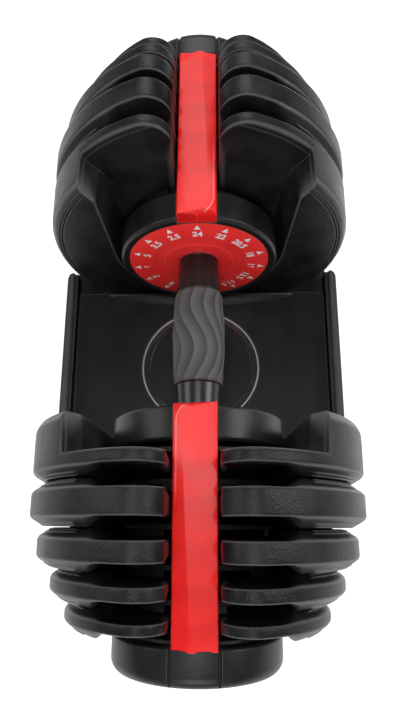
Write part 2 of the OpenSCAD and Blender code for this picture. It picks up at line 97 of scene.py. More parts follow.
def makeStudio():
    world = bpy.data.worlds.new("studio")
    bpy.context.scene.world = world
    world.use_nodes = True
    background = world.node_tree.nodes["Background"]
    background.inputs["Color"].default_value = (1, 1, 1, 1)
    background.inputs["Strength"].default_value = studio["sky"]
    makeLamps()
    h = studio["floorHalf"]
    mesh = bpy.data.meshes.new("floor")
    mesh.from_pydata([(-h, -h, 0), (h, -h, 0), (h, h, 0), (-h, h, 0)], [], [(0, 1, 2, 3)])
    floor = bpy.data.objects.new("floor", mesh)
    bpy.context.scene.collection.objects.link(floor)
    material = bpy.data.materials.new("floor")
    material.use_nodes = True
    shade = material.node_tree.nodes["Principled BSDF"]
    shade.inputs["Base Color"].default_value = (studio["floor"],) * 3 + (1,)
    shade.inputs["Roughness"].default_value = studio["floorRough"]
    shade.inputs["Emission Color"].default_value = (1, 1, 1, 1)
    shade.inputs["Emission Strength"].default_value = studio["glow"]
    floor.data.materials.append(material)


# A moulded material: slow patches between a dark and a light colour, a fine raised grain, and edges
# paler, part wear and part painted highlight. Grain and patch are counts per metre, and edge is the rounding of
# edges in mm.
def makeMaterial(name, dark, light, rough, grain, bump, patch, wearAndSheen=0.0, wearAndSheenColor=(0, 0, 0),
                 edge=0.8, metal=0.0, specular=0.5):
    material = bpy.data.materials.new(name)
    material.use_nodes = True
    tree = material.node_tree
    link = tree.links.new
    shade = tree.nodes["Principled BSDF"]
    shade.inputs["Metallic"].default_value = metal
    shade.inputs["Specular IOR Level"].default_value = specular
    place = tree.nodes.new("ShaderNodeTexCoord")
    patches = tree.nodes.new("ShaderNodeTexNoise")
    patches.inputs["Scale"].default_value = patch
    patches.inputs["Detail"].default_value = 5
    link(place.outputs["Object"], patches.inputs["Vector"])
    fine = tree.nodes.new("ShaderNodeTexNoise")
    fine.inputs["Scale"].default_value = grain
    fine.inputs["Detail"].default_value = 2
    link(place.outputs["Object"], fine.inputs["Vector"])
    colour = tree.nodes.new("ShaderNodeValToRGB")
    colour.color_ramp.elements[0].position = 0.3
    colour.color_ramp.elements[1].position = 0.7
    colour.color_ramp.elements[0].color = dark + (1,)
    colour.color_ramp.elements[1].color = light + (1,)
    link(patches.outputs["Fac"], colour.inputs["Fac"])
    roughness = tree.nodes.new("ShaderNodeMapRange")
    roughness.inputs["From Min"].default_value = 0.3
    roughness.inputs["From Max"].default_value = 0.7
    roughness.inputs["To Min"].default_value = rough[0]
    roughness.inputs["To Max"].default_value = rough[1]
    link(patches.outputs["Fac"], roughness.inputs["Value"])
    link(roughness.outputs["Result"], shade.inputs["Roughness"])
    soft = tree.nodes.new("ShaderNodeBevel")
    soft.samples = 6
    soft.inputs["Radius"].default_value = edge * mm
    raised = tree.nodes.new("ShaderNodeBump")
    raised.inputs["Strength"].default_value = bump
    raised.inputs["Distance"].default_value = 0.4 * mm
    link(fine.outputs["Fac"], raised.inputs["Height"])
    link(soft.outputs["Normal"], raised.inputs["Normal"])
    link(raised.outputs["Normal"], shade.inputs["Normal"])
    if wearAndSheen == 0:
        link(colour.outputs["Color"], shade.inputs["Base Color"])
        return material
    # paled where the rounded normal leaves the flat one, or where a piece's own mesh says so: part wear, part
    # painted highlight
    shape = tree.nodes.new("ShaderNodeNewGeometry")
    turned = tree.nodes.new("ShaderNodeVectorMath")
    turned.operation = "DOT_PRODUCT"
    link(soft.outputs["Normal"], turned.inputs[0])
    link(shape.outputs["Normal"], turned.inputs[1])
    rubbedAndSheen = tree.nodes.new("ShaderNodeMapRange")
    rubbedAndSheen.inputs["From Min"].default_value = 0.985
    rubbedAndSheen.inputs["From Max"].default_value = 0.86
    rubbedAndSheen.inputs["To Max"].default_value = wearAndSheen
    link(turned.outputs["Value"], rubbedAndSheen.inputs["Value"])
    own = tree.nodes.new("ShaderNodeAttribute")
    own.attribute_name = "rubAndSheen"
    both = tree.nodes.new("ShaderNodeMath")
    both.operation = "MULTIPLY_ADD"
    both.use_clamp = True
    both.inputs[1].default_value = wearAndSheen
    link(own.outputs["Fac"], both.inputs[0])
    link(rubbedAndSheen.outputs["Result"], both.inputs[2])
    mix = tree.nodes.new("ShaderNodeMix")
    mix.data_type = "RGBA"
    link(both.outputs["Value"], mix.inputs["Factor"])
    link(colour.outputs["Color"], mix.inputs["A"])
    mix.inputs["B"].default_value = wearAndSheenColor + (1,)
    link(mix.outputs["Result"], shade.inputs["Base Color"])
    return material


def grey(value):
    return (value, value, value * 1.03)


lookSettings = {
    # its paler colour marks edge wear and painted highlights on lips, edges and rib crests
    "plate_plastic": dict(
        dark=grey(0.005), light=grey(0.019), rough=(0.3, 0.44), grain=1000, bump=0.6, patch=45, wearAndSheen=0.6,
        wearAndSheenColor=grey(0.13), edge=0.7, specular=0.16),
    "tray_plastic": dict(
        dark=grey(0.005), light=grey(0.009), rough=(0.36, 0.46), grain=1500, bump=0.35, patch=60, wearAndSheen=0.5,
        wearAndSheenColor=grey(0.12), edge=2.2, specular=0.16),
    "housing_plastic": dict(
        dark=grey(0.006), light=grey(0.013), rough=(0.3, 0.4), grain=1200, bump=0.2, patch=60, wearAndSheen=0.4,
        wearAndSheenColor=grey(0.1), edge=1.6, specular=0.28),
    "knob_plastic": dict(
        dark=grey(0.005), light=grey(0.013), rough=(0.32, 0.42), grain=1300, bump=0.25, patch=50, wearAndSheen=0.5,
        wearAndSheenColor=grey(0.1), edge=0.9, specular=0.25),
    "disc_plastic": dict(
        dark=grey(0.006), light=grey(0.012), rough=(0.45, 0.55), grain=1200, bump=0.2, patch=60,
        specular=0.2),
    "bridge_plastic": dict(
        dark=(0.64, 0.008, 0.007), light=(0.73, 0.012, 0.01), rough=(0.32, 0.4), grain=900, bump=0.06,
        patch=60, wearAndSheen=0.5, wearAndSheenColor=(0.95, 0.35, 0.33), edge=0.5, specular=0.25),
    "number_plastic": dict(
        dark=(0.92, 0.03, 0.028), light=(0.98, 0.04, 0.038), rough=(0.4, 0.48), grain=1400, bump=0.12,
        patch=60, wearAndSheen=0.3, wearAndSheenColor=(0.9, 0.25, 0.25), edge=0.4, specular=0.4),
    "mark_paint": dict(
        dark=(0.86, 0.86, 0.86), light=(0.95, 0.95, 0.95), rough=(0.5, 0.6), grain=2500, bump=0.1,
        patch=200),
    # its paler colour paints the grip's bands lighter on their raised side, a painted shading
    "grip_rubber": dict(
        dark=grey(0.03), light=grey(0.042), rough=(0.5, 0.62), grain=2600, bump=0.35, patch=90, wearAndSheen=0.9,
        wearAndSheenColor=grey(0.15), edge=0.4, specular=0.3),
    "collar_plastic": dict(
        dark=grey(0.004), light=grey(0.009), rough=(0.26, 0.34), grain=700, bump=0.08, patch=40,
        specular=0.4),
    # its paler colour is the painted highlight along the deck ring's raised edge
    "gloss_black": dict(
        dark=grey(0.008), light=grey(0.012), rough=(0.16, 0.24), grain=500, bump=0.05, patch=60, wearAndSheen=0.9,
        wearAndSheenColor=grey(0.32), edge=0.6),
    "foot_rubber": dict(
        dark=grey(0.014), light=grey(0.022), rough=(0.6, 0.7), grain=1200, bump=0.3, patch=80,
        specular=0.3),
    "shaft_steel": dict(
        dark=(0.42, 0.43, 0.45), light=(0.56, 0.57, 0.59), rough=(0.22, 0.36), grain=1800, bump=0.1,
        patch=120, metal=1.0),
    "tube_steel": dict(
        dark=(0.45, 0.46, 0.48), light=(0.6, 0.61, 0.63), rough=(0.2, 0.34), grain=1800, bump=0.1,
        patch=120, metal=1.0),
    "frame_steel": dict(
        dark=grey(0.03), light=grey(0.05), rough=(0.42, 0.55), grain=900, bump=0.2, patch=80, wearAndSheen=0.3,
        wearAndSheenColor=grey(0.2), edge=0.5, metal=0.3),
    "core_steel": dict(
        dark=grey(0.01), light=grey(0.02), rough=(0.42, 0.55), grain=900, bump=0.25, patch=60, wearAndSheen=0.3,
        wearAndSheenColor=grey(0.14), edge=0.6, specular=0.2),
}
looks = {name: makeMaterial(name, **settings) for name, settings in lookSettings.items()}
print("materials made")

# points below are in mm, with height measured from the handle's axis
axisHeight = (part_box("handle_tube")[0].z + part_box("handle_tube")[1].z) / 2


def boxOf(node):
    low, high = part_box(node)
    return np.array(low) / mm - (0, 0, axisHeight / mm), np.array(high) / mm - (0, 0, axisHeight / mm)


def gridFaces(rows, cols, closeRows=False, closeCols=False):
    r = np.arange(rows if closeRows else rows - 1)
    c = np.arange(cols if closeCols else cols - 1)
    r, c = np.meshgrid(r, c, indexing="ij")
    nextRow, nextCol = (r + 1) % rows, (c + 1) % cols
    quads = [r * cols + c, r * cols + nextCol, nextRow * cols + nextCol, nextRow * cols + c]
    return np.stack(quads, -1).reshape(-1, 4).tolist()


# near turns a piece made for the far end round to the near one; rub says how much paler each point is painted, as
# wear and as painted highlight
def addPiece(name, points, faces, body, slotName, stands=(), crease=35, look=None, near=False, rubAndSheen=None):
    points = np.array(points, float).reshape(-1, 3)
    if near:
        points[:, :2] *= -1
    points = points * mm + (0, 0, axisHeight)
    mesh = bpy.data.meshes.new(name)
    mesh.from_pydata(points.tolist(), [], faces)
    if rubAndSheen is not None:
        mesh.attributes.new("rubAndSheen", "FLOAT", "POINT").data.foreach_set("value", np.clip(rubAndSheen, 0, 1).ravel())
    work = bmesh.new()
    work.from_mesh(mesh)
    bmesh.ops.remove_doubles(work, verts=work.verts, dist=2e-6)
    bmesh.ops.recalc_face_normals(work, faces=work.faces)
    work.to_mesh(mesh)
    work.free()
    mesh.validate()
    piece = bpy.data.objects.new(name, mesh)
    bpy.context.scene.collection.objects.link(piece)
    if crease:
        mesh.shade_smooth()
        mesh.set_sharp_from_angle(angle=radians(crease))
    else:
        mesh.shade_flat()
    mesh.materials.append(looks[look or slotName])
    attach(piece, body)
    if stands:
        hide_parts(*stands)
    return piece


# a profile of (radius, distance along the handle) carried round the axis; joined back to its start
def turnedPiece(name, profile, body, slotName, turns=128, **more):
    profile = np.array(profile, float)
    a = np.arange(turns) * 2 * pi / turns
    points = np.empty((turns, len(profile), 3))
    points[..., 0] = np.sin(a)[:, None] * profile[:, 0]
    points[..., 1] = profile[:, 1]
    points[..., 2] = np.cos(a)[:, None] * profile[:, 0]
    return addPiece(name, points, gridFaces(turns, len(profile), True, True), body, slotName, **more)


def smooth(t):
    t = np.clip(t, 0, 1)
    return t * t * (3 - 2 * t)


def bump(t):
    return np.clip(1 - t * t, 0, 1) ** 1.5


# a curve from start to stop that leaves and arrives along its lines to middle
def bend(t, start, middle, stop):
    return start * (1 - t) ** 2 + middle * 2 * t * (1 - t) + stop * t ** 2


# rounds the corners of a profile: each corner becomes a small curve of a few points
def rounded(profile, reach, steps):
    p = np.array(profile, float)
    before, after = np.roll(p, 1, 0), np.roll(p, -1, 0)
    t = np.linspace(0, 1, steps)[:, None]
    out = []
    for here, a, b in zip(p, before, after):
        u, v = a - here, b - here
        u *= min(reach / np.linalg.norm(u), 0.45)
        v *= min(reach / np.linalg.norm(v), 0.45)
        out.append(bend(t, here + u, here, here + v))
    return np.concatenate(out)


plate = {
    "shoulder": 5, "shoulderDrop": 8,       # the shoulder's depth, and its width in from the rim
    "horn": 22, "recess": 59,               # the horns' length, and half the recess between them at the axis
    "slot": 13.2, "slotRound": 4.6,         # half the slot's width, and the rounding along it
    "earRound": 15, "edge": 1.7, "floorEdge": 2.6,
    "channel": 48.5, "channelRamp": 8,      # half the channel's width, and the width of its sloped step
    "ribs": (4.4, 6.4), "ribHigh": 0.7, "ribWide": 0.5, "ribFrom": 57, "ribTo": 90,
    "flare": radians(42.2), "flareWide": radians(4.4),      # where the horns' recess opens, seen from the axis
    # where columns stand from the foot of a step, and in from the rim: closest at ribs and edges
    "stepColumns": (-9, -8, -7, -6, -5, -4, -3, -2, -1.3, -0.8, -0.4, 0, 0.35, 0.7, 1.2),
    "rimColumns": (46, 38, 31, 25, 20.5, 17, 14.5, 12.8, 12.2, 11.8, 11.4, 11, 10.6, 10.2, 9.8, 9.4, 9, 8.6,
                   8.2, 7.8, 7.4, 7, 6, 5.4, 5.2, 5.0, 4.85, 4.7, 4.55, 4.4, 4.2, 3.9, 3.6, 3.2, 3.0, 2.85,
                   2.7, 2.55, 2.4, 2.2, 1.8, 1.4, 0.9, 0.5, 0.0),
    # how much paler the rim's and the slot's rounded edges are painted: part wear, part painted highlight
    "edgeRubAndSheen": (0.3, 1, 0.5, 0, 0), "slotRubAndSheen": (0, 0.4, 0.6, 0.4, 0.1, 0),
}


# 1 beside the lock pin, 0 away from it
def nearPin(x):
    return smooth((10 - np.abs(x)) / 3)


# How far a point lies outside the recess between the horns. Above the axis the recess widens slowly,
# and faster past the housing's shoulder. Below it is round, with a notch for the lock pin.
def outsideRecess(x, z, r):
    wider = 2 * np.clip(z, 0, 60) / 60 + 7 * np.clip((z - 60) / 12, 0, 1) + 0.4 * np.clip(z - 72, 0, 40)
    return np.where(z > 0, np.abs(x) - (plate["recess"] + wider), r - plate["recess"] - 6 * nearPin(x))


# how far a point lies outside the channel, which is straight above the axis and round below
def outsideChannel(x, z, r):
    return np.where(z > 0, np.abs(x), r) - plate["channel"]


# two thin ribs along each shoulder, over a short stretch on both sides of the gap; 1 on a crest
def ribs(x, z, r, radius):
    reach = smooth((np.abs(x) - plate["ribFrom"]) / 1.5) * smooth((plate["ribTo"] - np.abs(x)) / 6) * (z > 0)
    return reach * sum(bump((radius - at - r) / plate["ribWide"]) for at in plate["ribs"])


# how far a shoulder side rises from the rim's plane: its slope, cut by the channel's step, and the ribs
def shoulderRise(x, z, r, radius):
    rise = plate["shoulder"] * np.clip((radius - r) / plate["shoulderDrop"], 0, 1) ** 0.9
    step = smooth((outsideChannel(x, z, r) + 5.5) / plate["channelRamp"])
    return rise * step + plate["ribHigh"] * ribs(x, z, r, radius)


# how wide the sloped border round a horn's face is, at height z
def hornBorder(z):
    return plate["shoulderDrop"] - 3.8 * smooth((z + 55) / 25)


# The depth of the first plate's hand side: the web lies in the rim's plane, a leaning wall goes up from
# it to the horn's face, and the face has a sloped border with two fine grooves inside it.
def hornDepth(x, z, r, radius, web, front):
    lean = 1.3 + 7.2 * smooth((66 - z) / 22) - 5 * nearPin(x) * (z < 0)
    up = np.clip((outsideRecess(x, z, r) + lean) / lean, 0, 1)
    up = 0.35 * up + 0.65 * smooth(up)
    border = hornBorder(z)
    past = r - radius + border
    face = border * np.clip(past / border, 0, 1) ** 1.8
    face = face + 0.5 * (bump((past + 1) / 0.6) + bump((past + 2.8) / 0.6)) * smooth((z + 60) / 30)
    return web + (front + face - web) * up


# painted highlight along the horn's lip and the start of its border
def hornLipHighlight(x, z, r, radius):
    return bump(outsideRecess(x, z, r) / 0.7) + 0.5 * bump((r - radius + hornBorder(z)) / 0.8)


# the angles of a plate's rays: close round the ear, over the flare of the recess and along the foot
def plateRays(first, middle, radius, horned):
    step = plate["flare"] if horned else asin(plate["channel"] / radius) - radians(2)
    rows = [first + (middle - first) * (1 - np.cos(np.linspace(0, pi / 2, 34))),
            np.linspace(middle, step, 14 if horned else 8)[1:]]
    if horned:
        rows.append(plate["flare"] + plate["flareWide"] * np.linspace(0, 1, 25)[1:])
    rows.append(np.arange(rows[-1][-1] + radians(0.9), radians(112), radians(1)))
    rows.append(np.linspace(radians(112.5), pi, 34))
    half = np.concatenate(rows)
    return np.concatenate([half, 2 * pi - half[-2::-1]])


# A plate is one closed grid. Its rows are rays round the axis, from one ear of the slot round to
# the other. Its columns go out over the inner side, over the rim, back over the outer side and
# along the slot's wall. Sign is -1 on the inner side, towards the hand, and 1 on the outer.
def makePlate(k, which):
    low, high = boxOf(f"plate_{k}_cover_far")
    radius = (high[0] - low[0]) / 2
    horned = k == 1
    rim = {-1: low[1] + plate["horn" if horned else "shoulder"], 1: high[1] - plate["shoulder"]}
    slot, ear = plate["slot"], plate["earRound"]
    earHigh = sqrt((radius - ear) ** 2 - (slot + ear) ** 2)
    middle = atan2(slot + ear, earHigh)
    ray = plateRays(middle - asin(ear / (radius - ear)) + 1e-6, middle, radius, horned)
    a = np.where(ray > pi, 2 * pi - ray, ray)[:, None]       # angle from straight up, on either side
    cosA, sinA = np.cos(a), np.sin(a)
    toEar = (slot + ear) * sinA + earHigh * cosA             # where the ray meets the ear's rounding
    span = np.sqrt(np.clip(toEar ** 2 - ((radius - ear) ** 2 - ear ** 2), 0, None))
    toWall = np.where(a < pi / 2, slot / np.clip(sinA, 0.05, 1), slot)
    start = np.where(a < atan2(slot, earHigh), toEar - span, toWall)
    stop = np.where(a < middle, toEar + span, radius)
    width = stop - start
    # the slot's edges are rounded square to its wall, so the rounding is longer along a steep ray
    steep = np.where(a < pi / 2, np.clip(sinA, 0.05, 1), 1)
    cut = np.minimum(plate["slotRound"] / steep, 0.5 * width)

    def depth(r, sign):
        x, z = r * sinA, r * cosA
        if horned and sign < 0:
            return hornDepth(x, z, r, radius, rim[sign], low[1])
        return rim[sign] + sign * shoulderRise(x, z, r, radius)

    # the radii of one side's columns, out to where its rim edge begins
    def columns(horn, edge):
        end = stop - np.minimum(edge, 0.3 * width)
        probe = start + (end - start) * np.linspace(0, 1, 400)[None, :]
        x, z = probe * sinA, probe * cosA
        over = outsideRecess(x, z, probe) > 0 if horn else outsideChannel(x, z, probe) > 2
        foot = np.where(over.any(1), np.take_along_axis(probe, over.argmax(1)[:, None], 1)[:, 0], end[:, 0])
        foot = np.where(a < radians(10), end, foot[:, None])
        steps, fromRim = np.array([plate["stepColumns"]]), np.array([plate["rimColumns"]])
        begin = np.clip(foot + steps[0, 0], start + cut, end)
        web = start + cut + (begin - start - cut) * np.linspace(0, 1, 9)[None, 1:-1]
        wall = np.clip(foot + steps, begin, end)
        rest = np.clip(stop - edge - fromRim, np.minimum(wall[:, -1:], end), end)
        return np.concatenate([web, wall, rest], 1), end

    rimDeep = depth(stop, 1) - depth(stop, -1)
    inward = np.minimum(plate["slotRound"], 0.4 * (depth(start, 1) - depth(start, -1)))
    inward = inward * np.clip(cut / plate["slotRound"], 0, 1)
    t = np.linspace(0, 1, 6)[None, :]

    # one side's surface, its rounded edge at the rim and its rounded edge at the slot, each as radius,
    # depth and how much paler it is painted, as wear and as painted highlight
    def makeSide(sign):
        horn = horned and sign < 0
        edge = plate["floorEdge" if horn else "edge"]
        r, end = columns(horn, edge)
        # the horn's lip and the rib crests are painted paler as a highlight
        rubbedAndSheen = (hornLipHighlight if horn else ribs)(r * sinA, r * cosA, r, radius)
        reach = np.minimum(np.minimum(edge, 0.3 * width), 0.45 * rimDeep)
        atRim, atWall = depth(stop, sign), depth(start, sign)
        rimEdge = (bend(t[:, 1:], end, stop, stop),
                   bend(t[:, 1:], depth(end, sign), atRim, atRim - sign * reach),
                   np.array([plate["edgeRubAndSheen"]]))
        slotEdge = (bend(t, start + cut, start, start),
                    bend(t, depth(start + cut, sign), atWall, atWall - sign * inward),
                    np.array([plate["slotRubAndSheen"]]))
        return (r, depth(r, sign), rubbedAndSheen), rimEdge, slotEdge

    # two plain columns from where one edge stops to where the other does
    def between(one, other, r):
        share = np.array([[1 / 3, 2 / 3]])
        return r + 0 * share, one[1][:, -1:] + (other[1][:, -1:] - one[1][:, -1:]) * share, 0 * share

    def flipped(part):
        return [values[:, ::-1] for values in part]

    faceIn, rimIn, slotIn = makeSide(-1)
    faceOut, rimOut, slotOut = makeSide(1)
    parts = (faceIn, rimIn, between(rimIn, rimOut, stop), flipped(rimOut), flipped(faceOut),
             slotOut, between(slotOut, slotIn, start), flipped(slotIn))
    r, y, rubAndSheen = (np.concatenate([part[i] + 0 * start for part in parts], 1) for i in range(3))
    side = np.where(ray > pi, -1.0, 1.0)[:, None]
    points = np.stack([side * r * sinA, y, r * cosA], -1)
    faces = gridFaces(len(ray), r.shape[1], False, True)
    return addPiece(f"plateSkin{k}_{which}", points, faces, f"plate_{k}_{which}", "plate_plastic",
                    stands=(f"plate_{k}_cover_{which}",), crease=40, near=which == "near", rubAndSheen=rubAndSheen)


for which in ends:
    for k in range(1, 6):
        makePlate(k, which)
print("plates made")


bridge = {
    "ridge": (8, 2),                            # where the ridge stands across, at the hand's end and the far end
    "mainSlope": 0.05, "sideSlope": 0.2, "front": 2.4, "frontSlope": 1.6,
    "corner": 11, "cornerEdge": 1.7, "round": 0.7,
    # each scoop's place along the bridge, its half length and its depth
    "scoops": ((33, 5, 3), (47, 5, 2.5), (60, 6, 3), (76, 6, 3), (92, 7, 4)),
    "farHigh": 49.8, "lift": 0.4,               # the top's height at its far end, and over the CAD cover
    "floor": 48.9, "floorFlat": 21,             # the underside's height, and how far it runs flat
    "floorFall": 6.7,                           # how far it falls from there to the far end
    "rows": 220, "cols": 61,
    "line": {"half": 0.35, "low": 49.6, "high": 56.8, "out": 0.2, "deep": 0.6},
}


# how far a point lies outside the curved line that cuts one corner of the cover, 0 on the line
def cornerOver(x, s, half):
    wide = bridge["corner"]
    across = np.clip(x - half + wide, 0, None) / (wide - bridge["cornerEdge"])
    return np.hypot(across, np.clip(wide - s, 0, None) / wide) - 1


# How far the cover's top lies below its straight line, at x across and s from the hand's end. Each
# flat facet is a plane, and the deepest plane wins: the long main face and its side face meet on a
# slanting ridge, the hand's end slopes down, one corner is cut on a curve, and the far edge has scoops.
def bridgeDrop(x, s, half, length):
    first, last = bridge["ridge"]
    ridge = first + (last - first) * s / length
    main = bridge["mainSlope"] * (ridge - x)
    drop = np.maximum(main, bridge["sideSlope"] * (x - ridge) * smooth((s - 25) / 20))
    drop = np.maximum(drop, bridge["frontSlope"] * (bridge["front"] - 0.12 * np.abs(x - 3) - s))
    over = cornerOver(x, s, half)
    drop = drop + np.where(over > 0, 0.25 + 4 * over, 0) * smooth((60 - s) / 30)
    for at, wide, deep in bridge["scoops"]:
        over = -x - half + deep * (1 - np.abs(s - at) / wide)
        drop = np.maximum(drop, np.where(over > 0, main + 0.13 * over, 0))
    drop = np.maximum(drop, (0.1 + 0.1 * np.abs(x - 1)) * np.clip((s - length + 16) / 16, 0, 1))
    edge = np.clip((np.abs(x) - half) / bridge["round"] + 1, 0, 1)
    return drop + bridge["round"] * (1 - np.sqrt(np.clip(1 - edge ** 2, 0, 1)))


# The cover is a closed grid: rows along the bridge, columns up one side, over the top, down the other
# and back underneath. The first and last rows are drawn down to the floor's line to close the ends.
def makeBridge(which):
    low, high = boxOf("bridge_cover_far")
    half, begin, length = high[0], low[1], high[1] - low[1]
    t = np.linspace(0, 1, bridge["rows"])[:, None]
    across = half * np.sin(np.linspace(-pi / 2, pi / 2, bridge["cols"]))[None, :]
    s = t * (length - 0.03 * np.abs(across - 1))
    top = high[2] + bridge["lift"] + (bridge["farHigh"] - high[2]) * t - bridgeDrop(across, s, half, length)
    fall = np.clip((s - bridge["floorFlat"]) / (length - bridge["floorFlat"]), 0, None)
    floor = bridge["floor"] - bridge["floorFall"] * fall
    wall = np.linspace(0, 1, 5)[None, :-1]
    left = floor[:, :1] + (top[:, :1] - floor[:, :1]) * wall
    right = floor[:, -1:] + (top[:, -1:] - floor[:, -1:]) * wall
    x = np.concatenate([-half + 0 * left, across + 0 * t, half + 0 * right, across[:, ::-1] + 0 * t], 1)
    y = begin + np.concatenate([s[:, :1] + 0 * left, s, s[:, -1:] + 0 * right, s[:, ::-1]], 1)
    z = np.concatenate([left, top, right[:, ::-1], floor[:, ::-1]], 1)
    under = np.concatenate([floor[:, :1] + 0 * left, floor, floor[:, -1:] + 0 * right, floor[:, ::-1]], 1)
    points, closing = np.stack([x, y, z], -1), np.stack([x, y, under], -1)
    points = np.concatenate([closing[:1], points, closing[-1:]], 0)
    # a paler line painted along the curved corner crease: a painted highlight
    line = 1.5 * bump(cornerOver(across, s, half) / 0.05) * smooth((60 - s) / 30) * smooth((s - 0.6) / 1.2)
    rubAndSheen = np.concatenate([0 * left, line, 0 * right, 0 * floor], 1)
    rubAndSheen = np.concatenate([0 * rubAndSheen[:1], rubAndSheen, 0 * rubAndSheen[:1]], 0)
    faces = gridFaces(*points.shape[:2], False, True)
    addPiece(f"bridgeShell_{which}", points, faces, "handle", "bridge_plastic",
             stands=(f"bridge_cover_{which}",), crease=30, near=which == "near", rubAndSheen=rubAndSheen)
    # the thin pointer line on the end that faces the hand
    mark = bridge["line"]
    outline = ((-mark["half"], mark["low"]), (mark["half"], mark["low"]),
               (mark["half"], mark["high"]), (-mark["half"], mark["high"]))
    front = begin - mark["out"]
    corners = [(x, y, z) for y in (front, front + mark["deep"]) for x, z in outline]
    quads = [(0, 1, 2, 3), (4, 7, 6, 5), (0, 4, 5, 1), (1, 5, 6, 2), (2, 6, 7, 3), (3, 7, 4, 0)]
    addPiece(f"pointerLine_{which}", corners, quads, "handle", "bridge_plastic", crease=0, near=which == "near")


for which in ends:
    makeBridge(which)
print("bridges made")

dial = {
    "numbers": ("24", "22", "20.5", "18", "16", "13.5", "11.5", "10", "9", "8", "7", "6", "5", "3.5", "2.5"),
    "numberAt": 36.4, "numberHigh": 5.0, "narrow": 0.95, "bold": 0.035,
    "arrowTip": 46.2, "arrowFoot": 41.6, "arrowHalf": 2.2, "raise": 0.12, "thick": 0.02,
    "bore": 13.0,
    # the face's steps, as radius and depth under its rim
    "steps": ((13.0, 0.9), (15, 0.9), (15.6, 0.35), (22.5, 0.35), (22.9, 0.1), (23.5, 0.1), (23.9, 0.35),
              (30.6, 0.35), (31.2, 0)),
}


def makeNumberDisc(which):
    low, high = boxOf("number_disc_far")
    r, face, back = high[0], low[1], high[1]
    profile = [(at, face + deep) for at, deep in dial["steps"]]
    profile += [(r - 0.5, face), (r, face + 0.5), (r, back), (dial["bore"], back)]
    turnedPiece(f"numberDiscFace_{which}", rounded(profile, 0.25, 3), f"dial_{which}", "number_plastic",
                stands=(f"number_disc_{which}",), near=which == "near")


# one number as a flat outline: its points across and up, and its faces
def flatLabel(label):
    words = bpy.data.curves.new("label", "FONT")
    words.body = label
    words.align_x = "CENTER"
    words.align_y = "CENTER"
    words.offset = dial["bold"]
    holder = bpy.data.objects.new("label", words)
    bpy.context.scene.collection.objects.link(holder)
    bpy.context.view_layer.update()
    flat = bpy.data.meshes.new_from_object(holder)
    spots = np.array([v.co[:2] for v in flat.vertices])
    faces = [list(p.vertices) for p in flat.polygons]
    bpy.data.objects.remove(holder)
    bpy.data.curves.remove(words)
    bpy.data.meshes.remove(flat)
    return spots, faces


# numbers and arrows round the disc, clockwise as the hand sees them, as one thin raised mesh
def makeMarks(which):
    face = boxOf("number_disc_far")[0][1] - dial["raise"]
    scale = dial["numberHigh"] / 0.72           # the letters' own height is 0.72 of their size
    arrow = ((0, dial["arrowTip"]), (dial["arrowHalf"], dial["arrowFoot"]),
             (-dial["arrowHalf"], dial["arrowFoot"]))
    points, faces = [], []
    for i, label in enumerate(dial["numbers"]):
        spots, polygons = flatLabel(label)
        spots = spots * (scale * dial["narrow"], scale) + (0, dial["numberAt"])
        angle = 2 * pi * i / len(dial["numbers"])
        for shape, cells in ((spots, polygons), (np.array(arrow), [[0, 1, 2]])):
            across, up = shape.T
            faces += [[len(points) + v for v in cell] for cell in cells]
            points += np.stack([across * np.cos(angle) + up * np.sin(angle), face + 0 * up,
                                up * np.cos(angle) - across * np.sin(angle)], 1).tolist()
    points = np.array(points)
    if which == "near":
        points[:, :2] *= -1
    mesh = bpy.data.meshes.new(f"dialMarks_{which}")
    mesh.from_pydata((points * mm + (0, 0, axisHeight)).tolist(), [], faces)
    work = bmesh.new()
    work.from_mesh(mesh)
    bmesh.ops.remove_doubles(work, verts=work.verts, dist=1e-6)
    toHand = 1 if which == "near" else -1
    bmesh.ops.recalc_face_normals(work, faces=work.faces)
    bmesh.ops.reverse_faces(work, faces=[f for f in work.faces if f.normal.y * toHand < 0])
    shape = bmesh.ops.extrude_face_region(work, geom=list(work.faces))
    moved = [v for v in shape["geom"] if isinstance(v, bmesh.types.BMVert)]
    bmesh.ops.translate(work, verts=moved, vec=(0, toHand * dial["thick"] * mm, 0))
    work.to_mesh(mesh)
    work.free()
    piece = bpy.data.objects.new(f"dialMarks_{which}", mesh)
    bpy.context.scene.collection.objects.link(piece)
    mesh.materials.append(looks["mark_paint"])
    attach(piece, f"dial_{which}")


for which in ends:
    makeNumberDisc(which)
    makeMarks(which)
print("dials made")

knob = {"longer": 2.4, "seat": 25, "capGap": 0.15,
        "grooveAt": 12.6, "grooveWide": 0.95, "grooveDeep": 2.2, "turns": 720}


